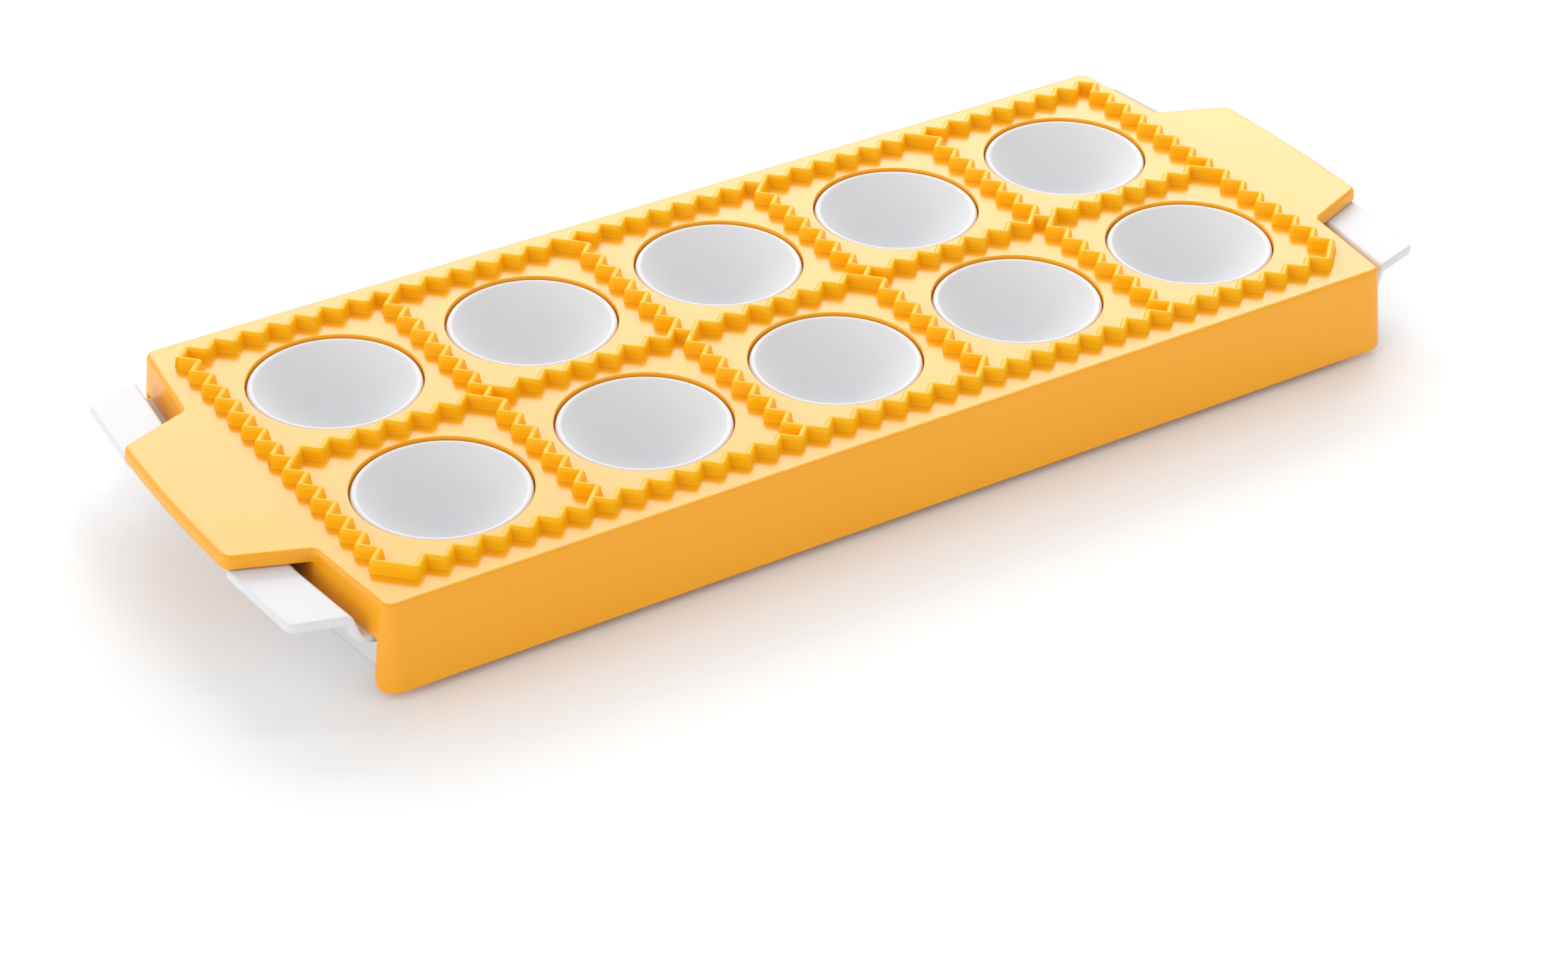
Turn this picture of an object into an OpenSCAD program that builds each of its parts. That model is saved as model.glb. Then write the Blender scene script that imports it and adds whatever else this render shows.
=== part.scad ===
/* [Cell grid] */
// Distance between the middles of neighbouring cups
cell_pitch = 55; // [53:0.5:60]
// Cups along the length
cups_long = 5; // [2:1:6]
// Cups across the width
cups_wide = 2; // [2:1:3]

/* [Cups] */
// Outer radius of the collar round each cup
collar_r = 21.54; // [19:0.1:22.5]
// Running gap between a collar and its hole in the cover
collar_gap = 0.28; // [0.15:0.01:0.6]
// Depth of the bowl below its rim
cup_depth = 14; // [10:0.5:16]
// Radius of the rounded lip on the rim
lip_r = 0.97; // [0.7:0.01:1.3]
// Wall thickness of the bowl
cup_wall = 2; // [1.5:0.1:2.5]
// How far the rim stays below the top of the cover
rim_drop = 0.5; // [0.2:0.1:1.5]

/* [Cover] */
// Height of the cover's top face over the table
cover_h = 24.6; // [22:0.1:30]
// Margin of the cover past the outer cell edge, on the long sides
side_margin = 9.5; // [7:0.1:14]
// Margin of the cover past the outer cell edge, at the corners of the ends
corner_margin = 6.35; // [5:0.05:10]
// How far an end wall bulges out from its corners to the handle
end_bulge = 3.25; // [1:0.05:6]
// Plan radius of the cover's four corners
corner_r = 3; // [1:0.5:8]
// Thickness of the cover's top plate
plate_t = 2.5; // [2:0.1:3]
// Thickness of the cover's walls
wall_t = 2.4; // [1.8:0.1:3]
// Radius along the cover's top edge
edge_r = 1.2; // [0.6:0.1:1.8]
// Angle by which the cover's walls lean out towards their foot
draft = 6; // [0:0.5:8]
// Gap between the table and the foot of the cover's walls
foot_gap = 2; // [0.5:0.1:3]
// Width of each corner post, between the long wall and the end notch
post_w = 3.3; // [2.8:0.1:12]
// Radius at the foot of each corner post, beside the end notch
post_r = 3; // [1:0.5:4]

/* [Handles] */
// Width of a handle where it leaves the end wall
handle_root_w = 70.2; // [50:0.2:80]
// Width of a handle at its tip
handle_tip_w = 55.2; // [40:0.2:68]
// Reach of a handle beyond the end wall, at its corners
handle_reach = 19; // [12:0.1:30]
// How far the middle of a handle's tip bows out
tip_bow = 0.8; // [0.2:0.1:3]
// Thickness of a handle
handle_t = 3.3; // [2.6:0.1:5]
// Plan radius of a handle's tip corners
handle_corner_r = 3; // [1.5:0.5:8]
// Plan radius of the inner corner between a handle and the end wall
handle_root_r = 1.6; // [0.8:0.1:4]

/* [Cutting ridges] */
// Half teeth to a cell, an odd number
half_teeth = 15; // [11:2:21]
// Height of the ridges over the cover
ridge_h = 2.9; // [1.4:0.1:3.4]
// Width of a ridge just below its rounded crest
crest_w = 2; // [1.3:0.1:2.2]
// Width of a ridge at its foot
ridge_foot_w = 2.6; // [2.2:0.1:3.6]

/* [Tray] */
// Thickness of the tray's deck and skirt
tray_t = 2.2; // [1.6:0.1:2.6]
// Thickness of the tray's end tabs
tab_t = 2.6; // [1.8:0.1:3]
// Thickness of the sheet in a tab's bend and ledge
bend_t = 2; // [1.4:0.1:2.6]
// Gap between the cover's walls and the tray's skirt, at the top
skirt_gap = 1.5; // [0.5:0.1:3]
// Plan radius of the skirt's corners
skirt_r = 3; // [1:0.5:6]
// Gap between the cover and the tray's faces below it
seat_gap = 0.4; // [0.2:0.1:1]
// Depth below the cover's top of the ledge that carries the end walls
ledge_drop = 9.9; // [9:0.1:14]
// Gap between a tab's sides and the corner posts
post_gap = 2; // [0.3:0.1:4]
// How much narrower a tab is at its tip than at the end wall, on each side
tab_taper = 4.9; // [0:0.1:10]
// Plan radius of a tab's corners
tab_corner_r = 2.5; // [1:0.5:5]
// How far a tab's outer corners stay behind the handle's tip corners
tab_corner_back = 2.7; // [0.5:0.1:5]
// How far a tab's inner corners stay behind the handle's tip corners
tab_setback = 0.4; // [0:0.1:3]
// How far a tab's two ears reach in under the handle's sides
ear_tuck = 2.1; // [0.5:0.1:5]
// Depth of the recess between the two ears
recess_depth = 9; // [6:0.5:11]
// Gap between the cover's end wall and the tab
trough_gap = 4.7; // [3.6:0.1:6]
// Lean of the sheet between the tab and the ledge, from upright
bend_lean = 18; // [0:1:30]
// Radius of the bend under the tab
bulge_r = 1.3; // [0.8:0.1:2]
// Radius of the bend beside the end wall
hollow_r = 2; // [1:0.1:3]

/* [Hidden] */
cover_colour = [0.97, 0.67, 0.20];
tray_colour = [0.93, 0.93, 0.94];
round_fn = 96;
arc_step = 15;
edge_step = 22.5;
bend_steps = 5;
least_r = 0.2;
tip_arc_share = 0.7;
eps = 0.05;

grid_half_x = cups_long * cell_pitch / 2;
grid_half_y = cups_wide * cell_pitch / 2;
cup_places = [for (i = [0 : cups_long - 1], j = [0 : cups_wide - 1])
    [(i + 0.5) * cell_pitch - grid_half_x, (j + 0.5) * cell_pitch - grid_half_y]];

side_y = grid_half_y + side_margin;
corner_x = grid_half_x + corner_margin;
root_x = corner_x + end_bulge;
tip_x = root_x + handle_reach;
peak_x = tip_x + tip_bow / (1 - tip_arc_share / 2);
bow_r = tip_arc_share * pow(handle_tip_w / 2, 2) / (peak_x - tip_x);
hole_r = collar_r + collar_gap;

plate_under_z = cover_h - plate_t;
handle_under_z = cover_h - handle_t;
deck_z = plate_under_z - seat_gap;
tab_z = handle_under_z - seat_gap;
ledge_z = cover_h - ledge_drop;
rim_z = cover_h - rim_drop;
notch_half = side_y - post_w;
tab_half = notch_half - post_gap;

// The bowl is a sphere that runs smoothly into the rounded lip
lip_mid_r = collar_r - lip_r;
lip_mid_z = rim_z - lip_r;
bowl_drop = cup_depth - lip_r;
bowl_r = (lip_mid_r * lip_mid_r + bowl_drop * bowl_drop - lip_r * lip_r) / (2 * cup_depth);
bowl_z = rim_z - cup_depth + bowl_r;
bowl_end_z = lip_mid_z + lip_r * (bowl_z - lip_mid_z) / (bowl_r + lip_r);

// How far the leaning walls stand outside their top outline, at a height
function lean_at(z) = (cover_h - edge_r - z) * tan(draft);

function unit(v) = v / norm(v);
function turn_left(v) = [-v[1], v[0]];
function cross2(a, b) = a[0] * b[1] - a[1] * b[0];

// A corner moved in by the inset: both edges beside it shift inwards by that much
function inset_corner(a, b, c, inset) =
    let (n1 = turn_left(unit(b - a)), n2 = turn_left(unit(c - b)))
    b + inset * (n1 + n2) / (1 + n1 * n2);

// The arc that rounds corner b between a and c, with radius r
function corner_arc(a, b, c, r) =
    let (
        d1 = unit(b - a),
        d2 = unit(c - b),
        bend = atan2(cross2(d1, d2), d1 * d2),
        side = sign(bend),
        reach = r * tan(abs(bend) / 2),
        centre = b - d1 * reach + side * r * turn_left(d1),
        steps = max(2, ceil(abs(bend) / arc_step)),
        spoke = -side * r * turn_left(d1)
    )
    [for (k = [0 : steps])
        let (t = bend * k / steps)
        centre + [spoke[0] * cos(t) - spoke[1] * sin(t), spoke[0] * sin(t) + spoke[1] * cos(t)]];

// A closed outline through corners [x, y, radius], counterclockwise, moved in by the inset
function rounded_outline(corners, inset = 0) =
    let (
        n = len(corners),
        xy = [for (c = corners) [c[0], c[1]]],
        moved = [for (k = [0 : n - 1])
            inset_corner(xy[(k + n - 1) % n], xy[k], xy[(k + 1) % n], inset)],
        hollow = [for (k = [0 : n - 1])
            sign(cross2(xy[k] - xy[(k + n - 1) % n], xy[(k + 1) % n] - xy[k]))]
    )
    [for (k = [0 : n - 1])
        each corner_arc(moved[(k + n - 1) % n], moved[k], moved[(k + 1) % n],
                        max(corners[k][2] - hollow[k] * inset, least_r))];

// Corners of one half are mirrored for the other
function with_mirror(half) =
    concat(half, [for (c = half) [-c[0], -c[1], c[2]]]);

function body_corners(r) = with_mirror([
    [corner_x, -side_y, r],
    [root_x, -handle_root_w / 2, r],
    [root_x, handle_root_w / 2, r],
    [corner_x, side_y, r]
]);

cover_corners = with_mirror([
    [corner_x, -side_y, corner_r],
    [root_x, -handle_root_w / 2, handle_root_r],
    [tip_x, -handle_tip_w / 2, handle_corner_r],
    [peak_x, 0, bow_r],
    [tip_x, handle_tip_w / 2, handle_corner_r],
    [root_x, handle_root_w / 2, handle_root_r],
    [corner_x, side_y, corner_r]
]);

function middle(ring) =
    [for (axis = [0 : 2]) (min([for (p = ring) p[axis]]) + max([for (p = ring) p[axis]])) / 2];

// Cap over a ring whose every point is seen from its middle point, the hub
function hub_cap(n, first, hub) = [for (k = [0 : n - 1]) [hub, first + k, first + (k + 1) % n]];

// Cap over a ring that runs out along one side of a sheet and back along the other
function sheet_cap(n, first) = [for (k = [0 : n / 2 - 2])
    [first + k, first + k + 1, first + n - 2 - k, first + n - 1 - k]];

function flipped(faces) = [for (f = faces) [for (k = [len(f) - 1 : -1 : 0]) f[k]]];

// Rings of equal length are joined into one closed skin
module loft(rings, is_sheet = false) {
    n = len(rings[0]);
    last = len(rings) - 1;
    hub = len(rings) * n;
    start_cap = is_sheet ? sheet_cap(n, 0) : hub_cap(n, 0, hub);
    end_cap = is_sheet ? sheet_cap(n, last * n) : hub_cap(n, last * n, hub + 1);
    polyhedron(
        points = concat(
            [for (ring = rings) each ring],
            is_sheet ? [] : [middle(rings[0]), middle(rings[last])]
        ),
        faces = concat(
            start_cap,
            flipped(end_cap),
            [for (level = [0 : last - 1], k = [0 : n - 1])
                let (next = (k + 1) % n, lower = level * n, upper = lower + n)
                [lower + next, lower + k, upper + k, upper + next]]
        )
    );
}

function ring_at(outline, z) = [for (p = outline) [p[0], p[1], z]];

module cover_slab() {
    loft(concat(
        [ring_at(rounded_outline(cover_corners, -lean_at(handle_under_z)), handle_under_z)],
        [for (t = [0 : edge_step : 90])
            ring_at(rounded_outline(cover_corners, edge_r * (1 - cos(t))),
                    cover_h - edge_r + edge_r * sin(t))]
    ));
}

module cover_walls() {
    difference() {
        loft([for (z = [foot_gap, handle_under_z, cover_h - edge_r])
            ring_at(rounded_outline(body_corners(corner_r), -lean_at(z)), z)]);
        end_notches();
    }
}

// The end walls stop at the ledge, between two corner posts with rounded feet
module end_notches() {
    for (turn = [0, 180])
        rotate([0, 0, turn])
            translate([grid_half_x, 0, 0])
                rotate([90, 0, 90])
                    linear_extrude(height = tip_x - grid_half_x)
                        notch_section();
}

module notch_section() {
    translate([-notch_half, -eps])
        square([2 * notch_half, ledge_z + eps]);
    for (side = [-1, 1])
        scale([side, 1])
            difference() {
                translate([notch_half - eps, -eps])
                    square([post_r + eps, foot_gap + post_r + eps]);
                translate([notch_half + post_r, foot_gap + post_r])
                    circle(r = post_r, $fn = round_fn);
            }
}

module cover_hollow() {
    loft([for (z = [-eps, plate_under_z])
        ring_at(rounded_outline(body_corners(corner_r), wall_t - lean_at(z)), z)]);
}

module cup_holes() {
    for (p = cup_places)
        translate([p[0], p[1], plate_under_z - eps])
            cylinder(h = plate_t + 2 * eps, r = hole_r, $fn = round_fn);
}

half_tooth = cell_pitch / half_teeth;
last_i = cups_long * half_teeth;
last_j = cups_wide * half_teeth;
row_len = last_i + 2;
row_points = (cups_wide + 1) * row_len;
leg_ways = [[1, 1], [-1, 1], [-1, -1], [1, -1]];

foot_fillet = 0.3;
crest_round = 0.6;

// Ridge section from foot to crest, as [half width, height over the cover]
ridge_section = [
    [ridge_foot_w / 2 + foot_fillet, -foot_fillet],
    [ridge_foot_w / 2, foot_fillet],
    [crest_w / 2, ridge_h - crest_round],
    [crest_w / 2 - crest_round, ridge_h]
];
levels = len(ridge_section);

function on_band(k) = (k + 1) % half_teeth <= 1;
function same_band(k, m) =
    on_band(k) && on_band(m) && floor((k + 1) / half_teeth) == floor((m + 1) / half_teeth);
function in_row(i, j) = i >= (j <= 0 ? 0 : -1) && i <= (j <= 0 ? last_i - 1 : last_i);
function in_column(j) = j >= 0 && j <= last_j - 1;

// A leg runs diagonally from one tooth point to the next, along a row or a column
function has_leg(i, j, way) =
    let (i2 = i + leg_ways[way][0], j2 = j + leg_ways[way][1])
    (same_band(j, j2) && in_row(i, j) && in_row(i2, j2))
    || (same_band(i, i2) && in_column(j) && in_column(j2));

function legs_at(i, j) = [for (way = [0 : 3]) if (has_leg(i, j, way)) way];
function leg_before(legs, way) =
    let (at_or_before = [for (w = legs) if (w <= way) w])
    len(at_or_before) > 0 ? at_or_before[len(at_or_before) - 1] : legs[len(legs) - 1];
function leg_after(legs, way) =
    let (later = [for (w = legs) if (w > way) w])
    len(later) > 0 ? later[0] : legs[0];

// Where the sides of two neighbouring legs meet, half_w out from both of them
function leg_corner(i, j, legs, way, half_w) =
    let (
        turn = (leg_after(legs, way) - way + 4) % 4,
        reach = turn == 2 ? half_w : half_w * sqrt(2),
        heading = 45 + 90 * way + 45 * turn
    )
    [(i + 0.5) * half_tooth - grid_half_x + reach * cos(heading),
     (j + 0.5) * half_tooth - grid_half_y + reach * sin(heading)];

row_knots = [for (r = [0 : cups_wide], i = [-1 : last_i])
    [i, r * half_teeth - (((i + r * half_teeth) % 2 == 0) ? 0 : 1)]];
column_knots = [for (c = [0 : cups_long], j = [0 : last_j - 1])
    [c * half_teeth - (((j + c * half_teeth) % 2 == 0) ? 0 : 1), j]];
knots = concat(row_knots, column_knots);

function knot_index(i, j) =
    on_band(j)
        ? floor((j + 1) / half_teeth) * row_len + i + 1
        : row_points + floor((i + 1) / half_teeth) * last_j + j;
function corner_index(knot, legs, way, level) =
    (knot * levels + level) * 4 + leg_before(legs, way);

// Every row and column of teeth, joined at shared points into one mitred lattice
module cutting_ridges() {
    knot_legs = [for (k = knots) legs_at(k[0], k[1])];
    used = [for (n = [0 : len(knots) - 1])
        if (n < row_points ? len(knot_legs[n]) > 0 : !on_band(knots[n][1])) n];
    points = [for (n = [0 : len(knots) - 1], level = [0 : levels - 1], way = [0 : 3])
        let (
            legs = len(knot_legs[n]) > 0 ? knot_legs[n] : [0, 2],
            at = leg_corner(knots[n][0], knots[n][1], legs, leg_before(legs, way),
                            ridge_section[level][0])
        )
        [at[0], at[1], cover_h + ridge_section[level][1]]];
    leg_faces = [for (n = used, way = [0, 3])
        if (has_leg(knots[n][0], knots[n][1], way))
            let (
                m = knot_index(knots[n][0] + 1, knots[n][1] + leg_ways[way][1]),
                legs_n = knot_legs[n],
                legs_m = knot_legs[m],
                back = (way + 2) % 4,
                left_n = [for (l = [0 : levels - 1]) corner_index(n, legs_n, way, l)],
                right_n = [for (l = [0 : levels - 1]) corner_index(n, legs_n, (way + 3) % 4, l)],
                left_m = [for (l = [0 : levels - 1]) corner_index(m, legs_m, (back + 3) % 4, l)],
                right_m = [for (l = [0 : levels - 1]) corner_index(m, legs_m, back, l)],
                top = levels - 1
            )
            each concat(
                [[left_n[top], left_m[top], right_m[top], right_n[top]]],
                [[right_n[0], right_m[0], left_m[0], left_n[0]]],
                [for (l = [0 : levels - 2])
                    [left_n[l], left_m[l], left_m[l + 1], left_n[l + 1]]],
                [for (l = [0 : levels - 2])
                    [right_m[l], right_n[l], right_n[l + 1], right_m[l + 1]]]
            )];
    knot_faces = [for (n = used)
        if (len(knot_legs[n]) > 2)
            let (legs = knot_legs[n], count = len(legs))
            each [
                [for (k = [count - 1 : -1 : 0]) corner_index(n, legs, legs[k], levels - 1)],
                [for (k = [0 : count - 1]) corner_index(n, legs, legs[k], 0)]
            ]];
    polyhedron(points = points, faces = concat(leg_faces, knot_faces));
}

module cutting_cover() {
    color(cover_colour) {
        difference() {
            union() {
                cover_slab();
                cover_walls();
            }
            cover_hollow();
            cup_holes();
        }
        cutting_ridges();
    }
}

// Solid of revolution outside the cup: round bowl below, straight collar and lip above
module cup_body() {
    collar_foot_z = deck_z - tray_t;
    rotate_extrude($fn = round_fn)
        intersection() {
            union() {
                intersection() {
                    translate([0, bowl_z])
                        circle(r = bowl_r + cup_wall, $fn = round_fn);
                    square([collar_r, collar_foot_z + tray_t / 2]);
                }
                translate([0, collar_foot_z])
                    square([collar_r, lip_mid_z - collar_foot_z]);
                translate([0, lip_mid_z - eps])
                    square([lip_mid_r, lip_r + eps]);
                translate([lip_mid_r, lip_mid_z])
                    circle(r = lip_r, $fn = round_fn);
            }
            square([hole_r, cover_h]);
        }
}

module cup_hollow() {
    rotate_extrude($fn = round_fn)
        intersection() {
            union() {
                intersection() {
                    translate([0, bowl_z])
                        circle(r = bowl_r, $fn = round_fn);
                    square([collar_r, bowl_end_z]);
                }
                difference() {
                    translate([0, bowl_end_z - eps])
                        square([lip_mid_r, 2 * lip_r]);
                    translate([lip_mid_r, lip_mid_z])
                        circle(r = lip_r, $fn = round_fn);
                }
            }
            square([collar_r, cover_h + lip_r]);
        }
}

module tray_shell() {
    skirt_inset = wall_t + skirt_gap;
    skirt_corners = body_corners(skirt_inset + skirt_r);
    difference() {
        linear_extrude(height = deck_z)
            polygon(rounded_outline(skirt_corners, skirt_inset));
        translate([0, 0, -eps])
            linear_extrude(height = deck_z - tray_t + eps)
                polygon(rounded_outline(skirt_corners, skirt_inset + tray_t));
    }
}

// Distance of the bend's upper face outside the end wall, at a height on its leaning stretch
function riser_at(z) = trough_gap - (tab_z - z) * tan(bend_lean);

// The bend from tab to ledge, as [distance outside the end wall, height], on a line that lies the
// given depths below the upper face: first the bulge under the tab, then the hollow
function bend_path(bend_depth, tab_depth) =
    let (
        turn = 90 - bend_lean,
        reach = tan(turn / 2),
        slip = bend_depth / cos(bend_lean),
        r1 = max(bulge_r - bend_depth, least_r),
        r2 = hollow_r + bend_depth,
        top = tab_z - tab_depth,
        bottom = ledge_z - bend_depth,
        bulge = [riser_at(top) + slip + r1 * reach, top - r1],
        hollow = [riser_at(bottom) + slip - r2 * reach, bottom + r2]
    )
    concat(
        [for (k = [0 : bend_steps])
            let (t = 90 + turn * k / bend_steps) bulge + r1 * [cos(t), sin(t)]],
        [for (k = [0 : bend_steps])
            let (t = -bend_lean - turn * k / bend_steps) hollow + r2 * [cos(t), sin(t)]]
    );

// The sheet stands at one end: flat tab, bend down beside the end wall, ledge to the skirt
module end_sheet() {
    sheet_len = peak_x - corner_x;
    ledge_in = -(wall_t + skirt_gap + tray_t / 2);
    upper = concat([[sheet_len, tab_z]], bend_path(0, 0), [[ledge_in, ledge_z]]);
    lower = concat([[sheet_len, tab_z - tab_t]], bend_path(bend_t, tab_t),
                   [[ledge_in, ledge_z - bend_t]]);
    section = concat(upper, [for (k = [len(lower) - 1 : -1 : 0]) lower[k]]);
    stations = [side_y, handle_root_w / 2, -handle_root_w / 2, -side_y];
    loft([for (y = stations)
        let (x = abs(y) > handle_root_w / 2 ? corner_x : root_x)
        [for (s = section) [x + s[0], y, s[1]]]], is_sheet = true);
}

// Two ears beside the handle, with a recess for the fingers between them
module tab_outline() {
    ear_x = tip_x - tab_setback;
    ear_half = handle_tip_w / 2 - ear_tuck;
    front = [
        [corner_x - wall_t - skirt_gap - tray_t, -tab_half, least_r],
        [root_x, -tab_half, tab_corner_r],
        [tip_x - tab_corner_back, tab_taper - tab_half, tab_corner_r],
        [ear_x, -ear_half, tab_corner_r],
        [ear_x - recess_depth, -ear_half, tab_corner_r]
    ];
    back = [for (k = [len(front) - 1 : -1 : 0]) [front[k][0], -front[k][1], front[k][2]]];
    polygon(rounded_outline(concat(front, back)));
}

module end_tab() {
    intersection() {
        end_sheet();
        linear_extrude(height = cover_h)
            tab_outline();
    }
}

module forming_tray() {
    color(tray_colour)
        difference() {
            union() {
                tray_shell();
                end_tab();
                rotate([0, 0, 180])
                    end_tab();
                for (p = cup_places)
                    translate([p[0], p[1], 0])
                        cup_body();
            }
            for (p = cup_places)
                translate([p[0], p[1], 0])
                    cup_hollow();
        }
}

cutting_cover();
forming_tray();
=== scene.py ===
import math

import bmesh
import bpy
from mathutils import Matrix, Quaternion, Vector
from mathutils.geometry import tessellate_polygon


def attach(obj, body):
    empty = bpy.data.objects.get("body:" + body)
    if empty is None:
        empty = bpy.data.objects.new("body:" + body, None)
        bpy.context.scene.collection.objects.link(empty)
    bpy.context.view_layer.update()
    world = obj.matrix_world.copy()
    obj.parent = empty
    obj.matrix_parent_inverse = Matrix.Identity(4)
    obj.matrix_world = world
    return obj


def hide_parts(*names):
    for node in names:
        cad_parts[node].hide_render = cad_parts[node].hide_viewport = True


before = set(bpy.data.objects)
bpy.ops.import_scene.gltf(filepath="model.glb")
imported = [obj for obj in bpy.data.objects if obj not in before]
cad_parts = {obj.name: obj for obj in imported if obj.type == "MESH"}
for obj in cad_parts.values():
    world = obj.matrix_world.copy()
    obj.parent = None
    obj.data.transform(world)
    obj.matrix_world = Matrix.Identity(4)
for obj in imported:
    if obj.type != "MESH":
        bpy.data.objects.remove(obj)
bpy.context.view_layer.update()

# Cups of the tray
# Ten round bowls in a grid of cells, each with a rolled lip that stands up through a hole in
# the cover. They are moulded in one shot with the tray from white food-safe plastic.
MM = 0.001
CELL = 55.0
CUPS_LONG = 5
CUPS_WIDE = 2
COVER_TOP = 24.6
COLLAR_R = 21.54
LIP_R = 0.97
LIP_TOP = COVER_TOP - 0.5
BOWL_DEPTH = 14.0
BOWL_WALL = 2.0
DECK_TOP = 21.7
DECK_T = 2.2


class Wire:
    """One value in a node tree. + - * and / on it add Math nodes."""

    def __init__(self, tree, socket):
        self.tree, self.socket = tree, socket

    def __add__(self, other):
        return self.tree.math("ADD", self, other)

    def __radd__(self, other):
        return self.tree.math("ADD", other, self)

    def __sub__(self, other):
        return self.tree.math("SUBTRACT", self, other)

    def __rsub__(self, other):
        return self.tree.math("SUBTRACT", other, self)

    def __mul__(self, other):
        return self.tree.math("MULTIPLY", self, other)

    def __rmul__(self, other):
        return self.tree.math("MULTIPLY", other, self)

    def __truediv__(self, other):
        return self.tree.math("DIVIDE", self, other)


class Tree:
    """A node tree that is written as expressions."""

    def __init__(self, nodes):
        self.nodes = nodes

    def put(self, kind, settings=None, sockets=None, out=0):
        """Adds a node: its settings first, then its sockets by name or number, as values or links."""
        node = self.nodes.nodes.new(kind)
        for name, value in (settings or {}).items():
            setattr(node, name, value)
        for key, value in (sockets or {}).items():
            if isinstance(value, Wire):
                self.nodes.links.new(value.socket, node.inputs[key])
            else:
                node.inputs[key].default_value = value
        return Wire(self, node.outputs[out]) if len(node.outputs) else node

    def math(self, operation, a, b=0.0):
        return self.put("ShaderNodeMath", {"operation": operation}, {0: a, 1: b})

    def blend(self, factor, a, b):
        """The colour between two colours."""
        return self.put("ShaderNodeMix", {"data_type": "RGBA"}, {0: factor, 6: a, 7: b}, out=2)


def moulded_plastic(name, deep, light, gloss, grain, shine=0.5):
    """Glossy moulded plastic: a slow drift of colour as the melt cooled, and a faint skin texture."""
    material = bpy.data.materials.new(name)
    material.use_nodes = True
    material.node_tree.nodes.clear()
    tree = Tree(material.node_tree)
    place = tree.put("ShaderNodeTexCoord", out="Object")
    drift = tree.put("ShaderNodeTexNoise", {}, {"Vector": place, "Scale": 14.0, "Detail": 2.0})
    skin = tree.put("ShaderNodeTexNoise", {}, {"Vector": place, "Scale": 900.0, "Detail": 3.0})
    sheen = tree.put("ShaderNodeTexNoise", {}, {"Vector": place, "Scale": 60.0, "Detail": 2.0})
    relief = tree.put("ShaderNodeBump", {}, {"Height": skin, "Strength": grain, "Distance": 0.02 * MM})
    shader = tree.put("ShaderNodeBsdfPrincipled", {}, {
        "Base Color": tree.blend(drift, deep, light),
        "Roughness": gloss + 0.03 * (sheen - 0.5) + 0.01 * (skin - 0.5),
        "IOR": 1.5,
        "Specular IOR Level": shine,
        "Normal": relief,
    })
    tree.put("ShaderNodeOutputMaterial", {}, {"Surface": shader})
    return material


white_plastic = moulded_plastic(
    "white_plastic", (0.775, 0.78, 0.80, 1), (0.79, 0.795, 0.815, 1), gloss=0.34, grain=0.004, shine=0.12)


def new_piece(name, points, faces, material):
    """A piece from points in millimetres, its doubles merged and its faces turned outwards."""
    mesh = bmesh.new()
    corners = [mesh.verts.new(Vector(p) * MM) for p in points]
    for face in faces:
        mesh.faces.new([corners[k] for k in face])
    bmesh.ops.remove_doubles(mesh, verts=mesh.verts, dist=1e-4 * MM)
    bmesh.ops.recalc_face_normals(mesh, faces=mesh.faces)
    data = bpy.data.meshes.new(name)
    mesh.to_mesh(data)
    mesh.free()
    data.materials.append(material)
    piece = bpy.data.objects.new(name, data)
    bpy.context.scene.collection.objects.link(piece)
    return piece


def smooth(piece, crease=40):
    """Smooth shading, with edges that fold by more than the crease angle kept crisp."""
    mesh = bmesh.new()
    mesh.from_mesh(piece.data)
    for face in mesh.faces:
        face.smooth = True
    for edge in mesh.edges:
        edge.smooth = len(edge.link_faces) == 2 and edge.calc_face_angle() < math.radians(crease)
    mesh.to_mesh(piece.data)
    mesh.free()


def soften(piece, crease=40):
    """As smooth, and wide flat faces keep their own normal."""
    smooth(piece, crease)
    flats = piece.modifiers.new("flats", "WEIGHTED_NORMAL")
    flats.keep_sharp = True
    flats.weight = 100


def arc(centre, radius, start, end, steps):
    """Points of a circle's arc, angles in degrees."""
    turns = [math.radians(start + (end - start) * k / steps) for k in range(steps + 1)]
    return [(centre[0] + radius * math.cos(t), centre[1] + radius * math.sin(t)) for t in turns]


def cup_section():
    """Half section of a cup as (radius, height), from the middle of the bowl over the lip and back."""
    lip_at = (COLLAR_R - LIP_R, LIP_TOP - LIP_R)
    drop = BOWL_DEPTH - LIP_R
    bowl_r = (lip_at[0] ** 2 + drop ** 2 - LIP_R ** 2) / (2 * (drop + LIP_R))
    bowl_z = LIP_TOP - BOWL_DEPTH + bowl_r
    lean = math.degrees(math.atan2(lip_at[1] - bowl_z, lip_at[0]))
    inside = arc((0, bowl_z), bowl_r, -90, lean, 22)
    lip = arc(lip_at, LIP_R, 180 + lean, 0, 12)
    foot_z = DECK_TOP - 0.7 * DECK_T
    under_r = bowl_r + BOWL_WALL
    under_lean = math.degrees(math.asin((foot_z - bowl_z) / under_r))
    outside = arc((0, bowl_z), under_r, under_lean, -90, 18)
    return inside[:-1] + lip + [(COLLAR_R, foot_z)] + outside


def lathe(section, steps):
    """Points and faces of a section turned about the upright axis."""
    turns = [2 * math.pi * k / steps for k in range(steps)]
    points = [(r * math.cos(t), r * math.sin(t), z) for r, z in section for t in turns]
    faces = [(row * steps + k, row * steps + (k + 1) % steps,
              (row + 1) * steps + (k + 1) % steps, (row + 1) * steps + k)
             for row in range(len(section) - 1) for k in range(steps)]
    return points, faces


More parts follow.
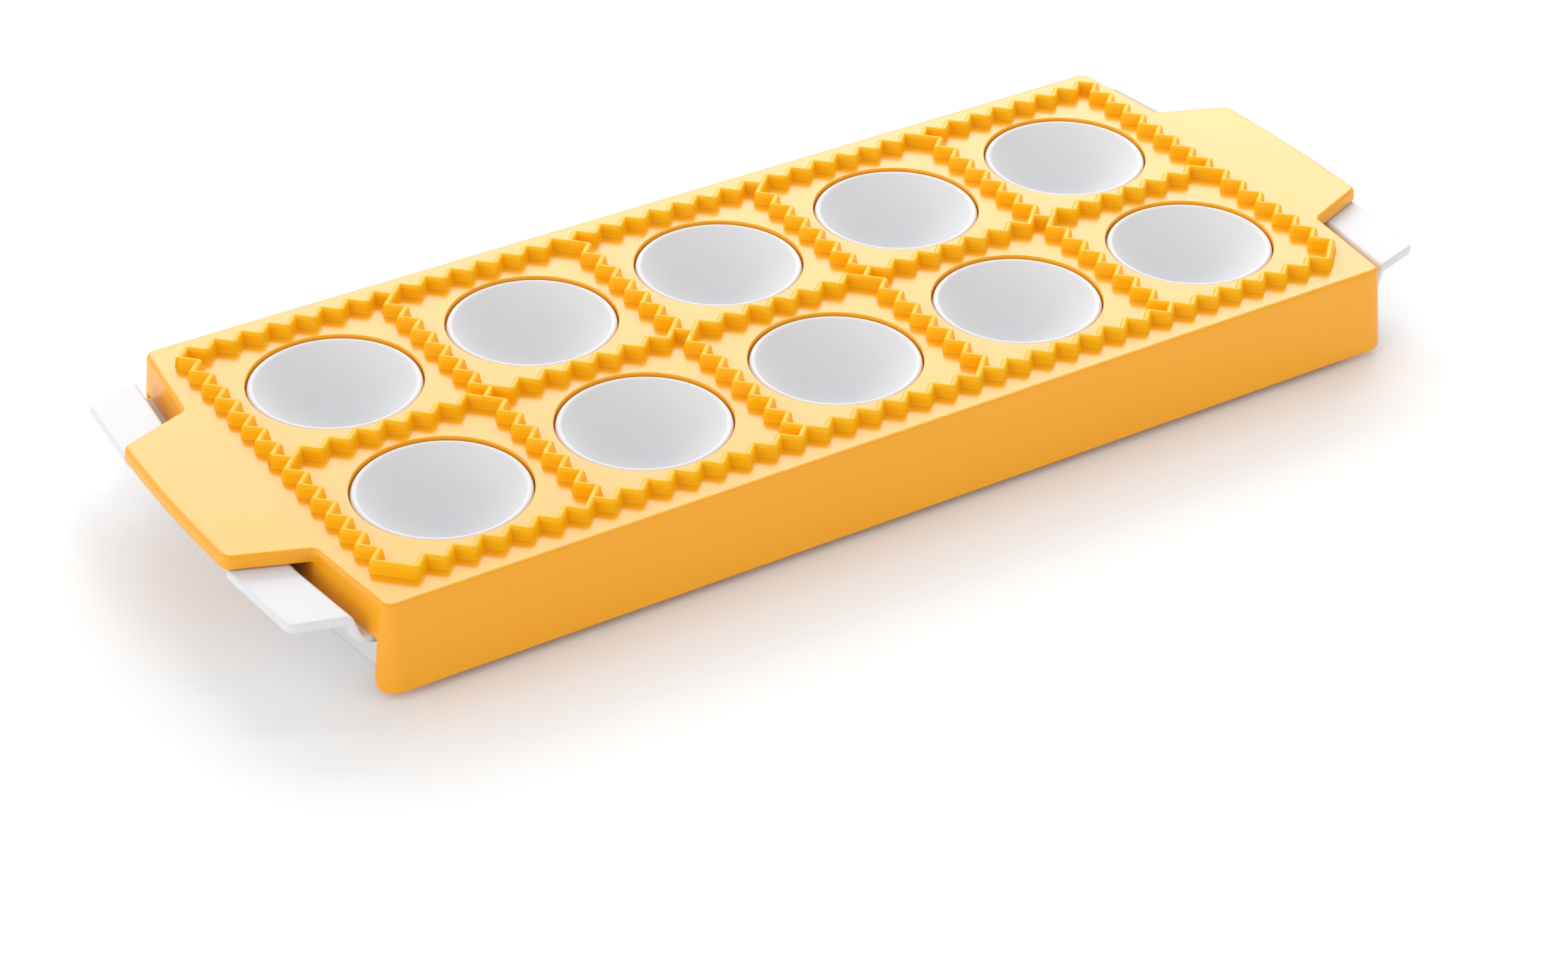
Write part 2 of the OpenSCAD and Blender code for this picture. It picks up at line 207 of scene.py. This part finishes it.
def plain_mesh(piece):
    """Turns a piece and its modifiers into a plain mesh."""
    bpy.context.view_layer.update()
    evaluated = piece.evaluated_get(bpy.context.evaluated_depsgraph_get())
    data = bpy.data.meshes.new_from_object(evaluated)
    piece.modifiers.clear()
    piece.data = data
    mesh = bmesh.new()
    mesh.from_mesh(data)
    bmesh.ops.recalc_face_normals(mesh, faces=mesh.faces)
    mesh.to_mesh(data)
    mesh.free()


def grown_tree(name, inputs):
    """An empty Geometry Nodes tree with a geometry input, the named inputs, and its input sockets."""
    group = bpy.data.node_groups.new(name, "GeometryNodeTree")
    group.interface.new_socket("Geometry", in_out="INPUT", socket_type="NodeSocketGeometry")
    for label, kind in inputs:
        group.interface.new_socket(label, in_out="INPUT", socket_type=kind)
    group.interface.new_socket("Geometry", in_out="OUTPUT", socket_type="NodeSocketGeometry")
    tree = Tree(group)
    entry = group.nodes.new("NodeGroupInput")
    return tree, {s.name: Wire(tree, s) for s in entry.outputs if s.name}


def grow(piece, tree, values):
    """Runs a tree on a piece with its inputs set, and keeps the result as a plain mesh."""
    modifier = piece.modifiers.new(tree.nodes.name, "NODES")
    modifier.node_group = tree.nodes
    for item in tree.nodes.interface.items_tree:
        if item.item_type == "SOCKET" and item.in_out == "INPUT" and item.name in values:
            modifier[item.identifier] = values[item.name]
    plain_mesh(piece)


FLOAT, WHOLE = "NodeSocketFloat", "NodeSocketInt"

cup_tree, cup_in = grown_tree("cups in a grid", [
    ("Cell", FLOAT), ("Cups long", WHOLE), ("Cups wide", WHOLE), ("Plastic", "NodeSocketMaterial")])
cup_middles = cup_tree.put("GeometryNodeMeshGrid", {}, {
    "Size X": cup_in["Cell"] * (cup_in["Cups long"] - 1),
    "Size Y": cup_in["Cell"] * (cup_in["Cups wide"] - 1),
    "Vertices X": cup_in["Cups long"],
    "Vertices Y": cup_in["Cups wide"],
})
cup_copies = cup_tree.put("GeometryNodeInstanceOnPoints", {}, {
    "Points": cup_middles, "Instance": cup_in["Geometry"]})
cup_solid = cup_tree.put("GeometryNodeRealizeInstances", {}, {"Geometry": cup_copies})
cup_white = cup_tree.put("GeometryNodeSetMaterial", {}, {
    "Geometry": cup_solid, "Material": cup_in["Plastic"]})
cup_tree.put("NodeGroupOutput", {}, {"Geometry": cup_white})

cups = new_piece("cups", *lathe(cup_section(), 96), white_plastic)
smooth(cups)
grow(cups, cup_tree, {"Cell": CELL * MM, "Cups long": CUPS_LONG, "Cups wide": CUPS_WIDE,
                      "Plastic": white_plastic})
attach(cups, "root")

# Deck and skirt of the tray
# The flat deck that joins the ten cups, and the skirt round it that stands on the table. One
# white moulding with the cups, open below.
SIDE_Y = 64.5
CORNER_X = 143.85
ROOT_X = 147.1
ROOT_Y = 35.1
SKIRT_IN = 3.9
SKIRT_R = 3.0
SKIRT_FOOT_R = 0.5
DECK_HOLE_R = 19.5
cup_places = [((i - (CUPS_LONG - 1) / 2) * CELL, (j - (CUPS_WIDE - 1) / 2) * CELL)
              for i in range(CUPS_LONG) for j in range(CUPS_WIDE)]


def moved_in(a, b, c, inset):
    """Corner b between a and c, moved in so that both edges beside it shift by the inset."""
    first, second = (b - a).normalized(), (c - b).normalized()
    n1, n2 = Vector((-first.y, first.x)), Vector((-second.y, second.x))
    return b + inset * (n1 + n2) / (1 + n1.dot(n2))


def rounded(corners, inset=0.0):
    """An outline's corners as a list of arcs. A corner is (x, y, radius, steps), counterclockwise."""
    flat = [Vector(c[:2]) for c in corners]
    moved = [moved_in(flat[k - 1], flat[k], flat[(k + 1) % len(flat)], inset) for k in range(len(flat))]
    arcs = []
    for k, (x, y, radius, steps) in enumerate(corners):
        before = (moved[k] - moved[k - 1]).normalized()
        after = (moved[(k + 1) % len(moved)] - moved[k]).normalized()
        bend = math.atan2(before.cross(after), before.dot(after))
        side = 1 if bend > 0 else -1
        r = max(radius - side * inset, 0.2)
        left = Vector((-before.y, before.x))
        middle = moved[k] - before * r * math.tan(abs(bend) / 2) + side * r * left
        spoke = -side * r * left
        arcs.append([middle + Matrix.Rotation(bend * n / steps, 2) @ spoke for n in range(steps + 1)])
    return arcs


def both_ends(half):
    """The corners of one end and the same corners turned half a turn."""
    return half + [(-x, -y, *rest) for x, y, *rest in half]


skirt_corners = both_ends([
    (x, y, SKIRT_IN + SKIRT_R, steps) for x, y, steps in
    [(CORNER_X, -SIDE_Y, 12), (ROOT_X, -ROOT_Y, 3), (ROOT_X, ROOT_Y, 3), (CORNER_X, SIDE_Y, 12)]])


def ring(outline, z):
    return [(p[0], p[1], z) for p in outline]


def pierced_box(rings, holes):
    """Points and faces of a box, open below, with holes through its top plate.

    The rings run from the plate's underside down the inner wall, over the foot and up outside to
    the plate's top. Each hole is a stack of rings from the underside up.
    """
    count = len(rings[0])
    points = [p for r in rings for p in r]
    faces = []

    def bands(first, rows, n):
        for row in range(rows - 1):
            a, b = first + row * n, first + (row + 1) * n
            faces.extend((a + k, a + (k + 1) % n, b + (k + 1) % n, b + k) for k in range(n))

    bands(0, len(rings), count)
    lowest, highest = [range(0, count)], [range(count * (len(rings) - 1), count * len(rings))]
    for stack in holes:
        first, n = len(points), len(stack[0])
        points.extend(p for r in stack for p in r)
        bands(first, len(stack), n)
        lowest.append(range(first, first + n))
        highest.append(range(first + n * (len(stack) - 1), first + n * len(stack)))
    for loops in (lowest, highest):
        order = [k for loop in loops for k in loop]
        flat = [[Vector(points[k]) for k in loop] for loop in loops]
        faces.extend(tuple(order[k] for k in tri) for tri in tessellate_polygon(flat))
    return points, faces


def skirt_ring(inset, z):
    return ring([p for a in rounded(skirt_corners, inset) for p in a], z)


foot_flat = DECK_T / 2 - SKIRT_FOOT_R
foot_round = arc((foot_flat, 0), SKIRT_FOOT_R, 0, -90, 4)
foot_round += arc((-foot_flat, 0), SKIRT_FOOT_R, -90, -180, 4)
tray_rings = [
    skirt_ring(SKIRT_IN + DECK_T, DECK_TOP - DECK_T),
    *[skirt_ring(SKIRT_IN + DECK_T / 2 + x, SKIRT_FOOT_R + z) for x, z in foot_round],
    *[skirt_ring(SKIRT_IN + SKIRT_FOOT_R - x, DECK_TOP - SKIRT_FOOT_R + z)
      for x, z in arc((0, 0), SKIRT_FOOT_R, 0, 90, 4)],
]
deck_hole = arc((0, 0), DECK_HOLE_R, 0, 352.5, 47)
tray_holes = [[ring([(x + cx, y + cy) for x, y in deck_hole], z) for z in (DECK_TOP - DECK_T, DECK_TOP)]
              for cx, cy in cup_places]
tray_body = new_piece("tray_body", *pierced_box(tray_rings, tray_holes), white_plastic)
soften(tray_body)
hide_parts("forming_tray")
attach(tray_body, "root")

# End tabs of the tray
# Two ears at each end, beside the cover's handle, to hold the tray down by. They are part of the
# same moulding: the sheet leaves the skirt as a ledge, bends up beside the end wall and runs out
# flat, with a recess for the fingers between the ears.
LEDGE_Z = 14.7
LEDGE_T = 2.0
TAB_Z = 20.9
TAB_T = 2.6
TROUGH = 4.7
BEND_LEAN = 18.0
BULGE_R = 1.3
HOLLOW_R = 2.0
TAB_HALF = 59.2
TAB_TIP_HALF = 54.3
TAB_TIP_X = 163.4
EAR_X = 165.7
EAR_HALF = 25.5
RECESS_X = 156.7
TAB_CORNER_R = 2.5
TAB_EDGE_R = 0.8


def end_wall_x(y, inset=0.0):
    """Where the end wall's face is at y: flat behind the handle, then slanting back to the corner."""
    slope = (ROOT_X - CORNER_X) / (SIDE_Y - ROOT_Y)
    shift = inset * (math.hypot(1, slope) - 1) / slope
    slant = ROOT_X - inset * math.hypot(1, slope) - max(abs(y) - ROOT_Y, -shift) * slope
    return min(ROOT_X - inset, slant)


def bend_section(depth, tab_depth):
    """The sheet's line at these depths below its upper face, as (distance outside the wall, height)."""
    lean = math.radians(BEND_LEAN)
    reach = math.tan(math.radians(90 - BEND_LEAN) / 2)
    bulge_r, hollow_r = max(BULGE_R - depth, 0.2), HOLLOW_R + depth
    top, bottom = TAB_Z - tab_depth, LEDGE_Z - depth

    def riser(z):
        return TROUGH - (TAB_Z - z) * math.tan(lean) + depth / math.cos(lean)

    hollow = arc((riser(bottom) - hollow_r * reach, bottom + hollow_r), hollow_r, -90, -BEND_LEAN, 8)
    bulge = arc((riser(top) + bulge_r * reach, top - bulge_r), bulge_r, 180 - BEND_LEAN, 90, 8)
    return [(-SKIRT_IN - DECK_T / 2, bottom)] + hollow + bulge


def tab_side(x):
    """Half the tab's width at x: even along the bend, then narrower towards the ears' tips."""
    taper = (TAB_HALF - TAB_TIP_HALF) / (TAB_TIP_X - ROOT_X)
    return TAB_HALF - max(x - ROOT_X, 0) * taper


tab_corners = [(CORNER_X, -TAB_HALF), (ROOT_X, -TAB_HALF), (TAB_TIP_X, -TAB_TIP_HALF),
               (EAR_X, -EAR_HALF), (RECESS_X, -EAR_HALF)]
tab_corners += [(x, -y) for x, y in tab_corners[::-1]]
tab_arcs = rounded([(x, y, TAB_CORNER_R, 10) for x, y in tab_corners])
ear_line = [p for a in tab_arcs[2:-2] for p in a]


def end_tab():
    """Points and faces of one end: the bend in columns across, then the flat ears and recess."""
    inner = [-48.0, -ROOT_Y, 0.0, ROOT_Y, 48.0]
    points, faces, flats = [], [], []
    for depth, tab_depth in ((0.0, 0.0), (LEDGE_T, TAB_T)):
        section = bend_section(depth, tab_depth)
        for d, z in section:
            side = tab_side(end_wall_x(TAB_HALF) + d)
            points += [(end_wall_x(y) + d, y, z) for y in [-side, *inner, side]]
        flats.append(list(range(len(points) - len(inner) - 2, len(points))))
        flats[-1] += list(range(len(points), len(points) + len(ear_line)))[::-1]
        points += ring(ear_line, TAB_Z - tab_depth)
    across = len(inner) + 2
    under = len(points) // 2
    for k in range(len(section) - 1):
        for m in range(across - 1):
            a = k * across + m
            faces += [(a, a + 1, a + across + 1, a + across),
                      (a + under, a + across + under, a + across + 1 + under, a + 1 + under)]
        for a in (k * across, k * across + across - 1):
            faces.append((a, a + across, a + across + under, a + under))
    faces += [(m, m + 1, m + 1 + under, m + under) for m in range(across - 1)]
    upper, lower = flats
    for m in range(across - 1, len(upper)):
        n = (m + 1) % len(upper)
        faces.append((upper[m], upper[n], lower[n], lower[m]))
    return points, faces + [tuple(upper), tuple(lower)]


def rounded_edges(piece, width, segments, chosen):
    """Rounds the sharp edges for which chosen(edge) is true, by a width in millimetres."""
    mesh = bmesh.new()
    mesh.from_mesh(piece.data)
    edges = [e for e in mesh.edges
             if len(e.link_faces) == 2 and e.calc_face_angle() > math.radians(50) and chosen(e)]
    bmesh.ops.bevel(mesh, geom=edges, offset=width * MM, offset_type="OFFSET", segments=segments,
                    profile=0.5, affect="EDGES", clamp_overlap=False)
    mesh.to_mesh(piece.data)
    mesh.free()


tab_points, tab_faces = end_tab()
turned = [(-x, -y, z) for x, y, z in tab_points]
turned_faces = [tuple(k + len(tab_points) for k in face) for face in tab_faces]
end_tabs = new_piece("end_tabs", tab_points + turned, tab_faces + turned_faces, white_plastic)
rounded_edges(end_tabs, TAB_EDGE_R, 4, lambda e: min(abs(v.co.x) for v in e.verts) > (CORNER_X - 1) * MM)
soften(end_tabs)
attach(end_tabs, "root")

# Cover
# The shallow box that is pressed over the sheet of dough: ten holes for the cups, a flat handle
# at each end, and end walls that stop at the tray's ledge between two corner posts. One shot of
# warm yellow-orange plastic with a soft gloss.
PLATE_T = 2.5
WALL_T = 2.4
HANDLE_T = 3.3
EDGE_R = 1.2
DRAFT = 6.0
CORNER_R = 3.0
TIP_X = 166.1
TIP_Y = 27.6
TIP_R = 3.0
BOW_X = 167.33
BOW_R = 434.0
HANDLE_EDGE_R = 0.5
HANDLE_ROOT_R = 1.6
FOOT_Z = 2.0
FOOT_EDGE_R = 0.35
POST_R = 3.0
NOTCH_HALF = 61.2
HOLE_R = 21.82
HOLE_EDGE_R = 0.35
PLATE_UNDER = COVER_TOP - PLATE_T
HANDLE_UNDER = COVER_TOP - HANDLE_T

yellow_plastic = moulded_plastic(
    "yellow_plastic", (0.97, 0.405, 0.006, 1), (0.98, 0.425, 0.010, 1), gloss=0.22, grain=0.003)

cover_corners = both_ends([
    (CORNER_X, -SIDE_Y, CORNER_R, 16), (ROOT_X, -ROOT_Y, HANDLE_ROOT_R, 6),
    (TIP_X, -TIP_Y, TIP_R, 12), (BOW_X, 0, BOW_R, 10), (TIP_X, TIP_Y, TIP_R, 12),
    (ROOT_X, ROOT_Y, HANDLE_ROOT_R, 6), (CORNER_X, SIDE_Y, CORNER_R, 16)])
post_steps = [0.0, 0.1, 0.35]


def lean(z):
    """How far the walls stand outside their top outline at a height, for the mould to draw."""
    return (COVER_TOP - EDGE_R - z) * math.tan(math.radians(DRAFT))


def end_columns(inset):
    """Outline points round one end with its handle, with extra points where the notch begins."""
    arcs = rounded(cover_corners, inset)[:7]

    def side_points(corner_end, root_start):
        share = (NOTCH_HALF - abs(root_start.y)) / (abs(corner_end.y) - abs(root_start.y))
        notch = root_start + (corner_end - root_start) * share
        return [notch + (corner_end - notch).normalized() * s for s in [0.0] + post_steps]

    low = side_points(arcs[0][-1], arcs[1][0])
    high = side_points(arcs[6][0], arcs[5][-1])
    return arcs[0] + low[::-1] + [p for a in arcs[1:6] for p in a] + high + arcs[6]


def foot_heights():
    """Height of the wall's foot at each point of an end: post foot, rounded corner, notch."""
    outline = end_columns(-lean(FOOT_Z))
    posts = len(rounded(cover_corners)[0]) + len(post_steps)
    heights = []
    for k, p in enumerate(outline):
        gap = POST_R - (abs(p.y) - NOTCH_HALF)
        rise = POST_R - math.sqrt(POST_R ** 2 - min(max(gap, 0), POST_R) ** 2)
        heights.append(FOOT_Z + rise if min(k, len(outline) - 1 - k) < posts else LEDGE_Z)
    return heights


feet = foot_heights()


def wall_columns(inset):
    """As end_columns, but straight across behind the handle, as the end wall is."""
    handled = end_columns(0.0)
    corner = len(rounded(cover_corners)[0])
    columns = end_columns(inset)
    for k in range(corner, len(handled) - corner):
        columns[k] = Vector((end_wall_x(handled[k].y, inset), handled[k].y))
    return columns


def wall_at(inset, heights):
    """The wall's line at each column's height, moved in by the inset and out by its lean."""
    high, low = wall_columns(inset - lean(LEDGE_Z)), wall_columns(inset - lean(FOOT_Z))
    return [a.lerp(b, (LEDGE_Z - z) / (LEDGE_Z - FOOT_Z)) for a, b, z in zip(high, low, heights)]


def whole(end, heights):
    """A closed ring from the columns of one end and the same ones turned half a turn."""
    one = [(p[0], p[1], z) for p, z in zip(end, heights)]
    return one + [(-x, -y, z) for x, y, z in one]


def level(z):
    return [z] * len(feet)


edge_share = [0.0] * len(feet)
first_root = len(rounded(cover_corners)[0]) + len(post_steps) + 1
for k in range(first_root, len(feet) - first_root):
    edge_share[k] = min(1.0, (min(k, len(feet) - 1 - k) - first_root) / 6)
handle_line = end_columns(-lean(HANDLE_UNDER))
handle_line_in = end_columns(HANDLE_EDGE_R - lean(HANDLE_UNDER))


def handle_edge(turn):
    """The handle's lower edge part way round its rounding; elsewhere it stays on the wall."""
    pull, lift = 1 - math.cos(math.radians(turn)), 1 - math.sin(math.radians(turn))
    line = [a.lerp(b, pull * s) for a, b, s in zip(handle_line, handle_line_in, edge_share)]
    return whole(line, [HANDLE_UNDER + HANDLE_EDGE_R * s * lift for s in edge_share])


cover_rings = [
    whole(wall_columns(WALL_T - lean(PLATE_UNDER)), level(PLATE_UNDER)),
    whole(wall_columns(WALL_T - lean(LEDGE_Z)), level(LEDGE_Z)),
    whole(wall_at(WALL_T, feet), feet),
    whole(wall_at(0.0, feet), feet),
    whole(wall_columns(-lean(LEDGE_Z)), level(LEDGE_Z)),
    whole(wall_columns(-lean(HANDLE_UNDER)), level(HANDLE_UNDER)),
    *[handle_edge(turn) for turn in (90, 60, 30, 0)],
    *[whole(end_columns(EDGE_R * (1 - math.cos(math.radians(turn)))),
            level(COVER_TOP - EDGE_R * (1 - math.sin(math.radians(turn)))))
      for turn in (0, 11.25, 22.5, 33.75, 45, 56.25, 67.5, 78.75, 90)],
]


def merge_walls(piece):
    """Joins the wall's flat stretches into single faces, so that the foot's edges round evenly."""
    mesh = bmesh.new()
    mesh.from_mesh(piece.data)
    low = [v for v in mesh.verts if v.co.z < (HANDLE_UNDER - 0.1) * MM]
    edges = {e for v in low for e in v.link_edges}
    bmesh.ops.dissolve_limit(mesh, angle_limit=math.radians(0.5), verts=low, edges=list(edges))
    mesh.to_mesh(piece.data)
    mesh.free()


def round_ring(cx, cy, radius, z, steps=96):
    turns = [2 * math.pi * k / steps for k in range(steps)]
    return [(cx + radius * math.cos(t), cy + radius * math.sin(t), z) for t in turns]


hole_section = arc((HOLE_R + HOLE_EDGE_R, PLATE_UNDER + HOLE_EDGE_R), HOLE_EDGE_R, 270, 180, 4)
hole_section += arc((HOLE_R + HOLE_EDGE_R, COVER_TOP - HOLE_EDGE_R), HOLE_EDGE_R, 180, 90, 5)
cover_holes = [[round_ring(cx, cy, r, z) for r, z in hole_section] for cx, cy in cup_places]
cover = new_piece("cover", *pierced_box(cover_rings, cover_holes), yellow_plastic)
merge_walls(cover)
rounded_edges(cover, FOOT_EDGE_R, 3, lambda e: max(v.co.z for v in e.verts) < (LEDGE_Z + 0.1) * MM)
soften(cover)
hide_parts("cutting_cover")
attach(cover, "root")

# Cutting ridges
# Low blunt ridges in zigzag rows and columns between the cups, standing on the cover's top. They
# crimp and cut the dough under a rolling pin, and are part of the cover's moulding.
HALF_TEETH = 15
RIDGE_H = 2.9
FLANK_LEAN = 8.0
CREST_R = 0.95
RIDGE_FOOT_R = 0.3
RIDGE_SUNK = 0.3
KNEE_R = 0.45

# The ridges are the cover's own yellow plastic, painted lighter and more saturated here. This painted
# glow stands in for the light that shines through the thin ridges and brightens their facets.
ridge_plastic_painted_glow = moulded_plastic(
    "ridge_plastic_painted_glow", (0.98, 0.49, 0.002, 1), (0.99, 0.52, 0.004, 1), gloss=0.3, grain=0.003, shine=0.25)


def ridge_section():
    """A ridge's section as (distance from its middle, height): fillet, leaning flank, round crest."""
    tilt = math.radians(FLANK_LEAN)
    crest = arc((0, RIDGE_H - CREST_R), CREST_R, FLANK_LEAN, 90, 5)
    drop = crest[0][1] - RIDGE_FOOT_R * (1 - math.sin(tilt))
    foot_x = crest[0][0] + drop * math.tan(tilt) + RIDGE_FOOT_R * math.cos(tilt)
    foot = arc((foot_x, RIDGE_FOOT_R), RIDGE_FOOT_R, 270, 180 + FLANK_LEAN, 4)
    half = [(foot_x, -RIDGE_SUNK)] + foot + crest
    return half + [(-x, z) for x, z in half[-2::-1]]


section = ridge_section()
lattice, given = grown_tree("zigzag ridges", [
    ("Cell", FLOAT), ("Cups long", WHOLE), ("Cups wide", WHOLE), ("Half teeth", WHOLE),
    ("Height", FLOAT), ("Knee radius", FLOAT), ("Plastic", "NodeSocketMaterial")])
cell, per_cell = given["Cell"], given["Half teeth"]
tooth = cell / per_cell
half_long = cell * given["Cups long"] * 0.5
half_wide = cell * given["Cups wide"] * 0.5
index = lattice.put("GeometryNodeInputIndex")
spot = lattice.put("GeometryNodeInputPosition")
spot_x = lattice.put("ShaderNodeSeparateXYZ", {}, {"Vector": spot}, out="X")
spot_y = lattice.put("ShaderNodeSeparateXYZ", {}, {"Vector": spot}, out="Y")


def tooth_points(count, i, j):
    """Points of the zigzag lines, i and j half teeth along and across."""
    place = lattice.put("ShaderNodeCombineXYZ", {}, {
        "X": (i + 0.5) * tooth - half_long, "Y": (j + 0.5) * tooth - half_wide, "Z": given["Height"]})
    return lattice.put("GeometryNodePoints", {}, {"Count": count, "Position": place})


def swing(along, band):
    """0 or 1: the side of its band that a tooth point is on."""
    return lattice.math("FLOORED_MODULO", along + band * per_cell, 2.0)


def strung(points, line, order):
    """The points strung on lines by their line's number."""
    return lattice.put("GeometryNodePointsToCurves", {}, {
        "Points": points, "Curve Group ID": line + 0.25, "Weight": order})


last_i = given["Cups long"] * per_cell
i = lattice.math("FLOORED_MODULO", index, last_i + 2) - 1
row = lattice.math("FLOOR", index / (last_i + 2))
row_points = tooth_points((last_i + 2) * (given["Cups wide"] + 1), i, row * per_cell - swing(i, row))
outside = lattice.math("LESS_THAN", i, -0.5) + lattice.math("GREATER_THAN", i, last_i - 0.5)
row_points = lattice.put("GeometryNodeDeleteGeometry", {"domain": "POINT"}, {
    "Geometry": row_points, "Selection": outside * lattice.math("LESS_THAN", row, 0.5)})
row_lines = strung(row_points, lattice.math("ROUND", (spot_y + half_wide) / cell), spot_x)

last_j = given["Cups wide"] * per_cell
j = lattice.math("FLOORED_MODULO", index, last_j)
column = lattice.math("FLOOR", index / last_j)
column_points = tooth_points(last_j * (given["Cups long"] + 1), column * per_cell - swing(j, column), j)
column_number = lattice.math("ROUND", (spot_x + half_long) / cell)
stretch = lattice.math("FLOOR", (spot_y + half_wide) / cell)
column_lines = strung(column_points, column_number * given["Cups wide"] + stretch, spot_y)

both = lattice.put("GeometryNodeJoinGeometry")
for lines in (row_lines, column_lines):
    lattice.nodes.links.new(lines.socket, both.socket.node.inputs[0])
upright = lattice.put("GeometryNodeSetCurveNormal", {"mode": "Z_UP"}, {"Curve": both})
kneed = lattice.put("GeometryNodeFilletCurve", {"mode": "POLY"}, {
    "Curve": upright, "Count": 3, "Radius": given["Knee radius"]})
shape = lattice.put("GeometryNodeMeshToCurve", {}, {"Mesh": given["Geometry"]})
swept = lattice.put("GeometryNodeCurveToMesh", {}, {
    "Curve": kneed, "Profile Curve": shape, "Fill Caps": True})
solid = lattice.put("GeometryNodeRealizeInstances", {}, {"Geometry": swept})
painted = lattice.put("GeometryNodeSetMaterial", {}, {"Geometry": solid, "Material": given["Plastic"]})
lattice.put("NodeGroupOutput", {}, {"Geometry": painted})

ridges = new_piece("ridges", [(w, -z, 0) for w, z in section], [], ridge_plastic_painted_glow)
wire = bmesh.new()
wire.from_mesh(ridges.data)
wire.verts.ensure_lookup_table()
for k in range(len(section)):
    wire.edges.new((wire.verts[k - 1], wire.verts[k]))
wire.to_mesh(ridges.data)
wire.free()
grow(ridges, lattice, {"Cell": CELL * MM, "Cups long": CUPS_LONG, "Cups wide": CUPS_WIDE,
                       "Half teeth": HALF_TEETH, "Height": COVER_TOP * MM,
                       "Knee radius": KNEE_R * MM, "Plastic": ridge_plastic_painted_glow})
soften(ridges, 30)
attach(ridges, "root")

# Table and light
# A plain white table, wider than the picture. Two broad lamps stand behind the mould, a
# flat one hangs over its back right corner, and the room glows softly from the front and left.
TABLE_HALF = 0.8
LAMP_FAR = 1.6

table_mesh = bmesh.new()
bmesh.ops.create_grid(table_mesh, x_segments=1, y_segments=1, size=TABLE_HALF)
table_data = bpy.data.meshes.new("table")
table_mesh.to_mesh(table_data)
table_mesh.free()
table = bpy.data.objects.new("table", table_data)
bpy.context.scene.collection.objects.link(table)
table_white = bpy.data.materials.new("table_white")
table_white.use_nodes = True
table_white.node_tree.nodes.clear()
paper = Tree(table_white.node_tree)
table_seen = paper.put("ShaderNodeLightPath", out="Is Camera Ray")
sheet = paper.put("ShaderNodeBsdfDiffuse", {}, {
    "Color": paper.blend(table_seen, (0.95, 0.95, 0.95, 1), (1.0, 1.0, 1.0, 1))})
paper.put("ShaderNodeOutputMaterial", {}, {"Surface": sheet})
table_data.materials.append(table_white)

room = bpy.data.worlds.new("room")
bpy.context.scene.world = room
room.use_nodes = True
room.node_tree.nodes.clear()
air = Tree(room.node_tree)
room_seen = air.put("ShaderNodeLightPath", out="Is Camera Ray")
heading = air.put("ShaderNodeTexCoord", out="Generated")


def toward(bearing, rise):
    """The direction at a bearing from the mould's length and a rise over the table, in degrees."""
    b, r = math.radians(bearing), math.radians(rise)
    return Vector((math.cos(r) * math.cos(b), math.cos(r) * math.sin(b), math.sin(r)))


def glow_from(bearing, rise, strength):
    """A broad soft light in the room that fades off all round its middle."""
    facing = air.put("ShaderNodeVectorMath", {"operation": "DOT_PRODUCT"}, {
        0: heading, 1: toward(bearing, rise)}, out="Value")
    return strength * air.math("POWER", air.math("MAXIMUM", facing), 4.0)


light = 0.55 + glow_from(-75, 10, 0.65) + glow_from(176, 10, 1.4)
glow = air.put("ShaderNodeBackground", {}, {
    "Color": (1.0, 1.0, 1.0, 1), "Strength": light * (1.0 - room_seen) + room_seen})
air.put("ShaderNodeOutputWorld", {}, {"Surface": glow})


def lamp(name, bearing, rise, width, height, radiance):
    """A flat soft lamp that faces the mould, its size in degrees as the mould sees it."""
    panel = bpy.data.lights.new(name, "AREA")
    panel.shape = "RECTANGLE"
    panel.size = 2 * LAMP_FAR * math.tan(math.radians(width) / 2)
    panel.size_y = 2 * LAMP_FAR * math.tan(math.radians(height) / 2)
    panel.energy = radiance * math.pi * panel.size * panel.size_y
    holder = bpy.data.objects.new(name, panel)
    holder.location = toward(bearing, rise) * LAMP_FAR
    holder.rotation_euler = (-holder.location).to_track_quat("-Z", "Y").to_euler()
    bpy.context.scene.collection.objects.link(holder)


lamp("back", 57, 30, width=56, height=26, radiance=4.1)
lamp("far left", 108, 30, width=44, height=26, radiance=1.1)
lamp("over", 36, 56, width=30, height=12, radiance=3.0)

# Camera
# Solved on the rims of the ten cups.
view = bpy.data.cameras.new("camera")
view.sensor_width = 36.0
view.lens = 85.894
camera = bpy.data.objects.new("camera", view)
camera.location = (-0.43927, -0.681853, 0.506961)
camera.rotation_mode = "QUATERNION"
camera.rotation_quaternion = Quaternion((0.845782, 0.453836, -0.1374, -0.244556))
bpy.context.scene.collection.objects.link(camera)
bpy.context.scene.camera = camera
bpy.context.scene.view_settings.view_transform = "Standard"
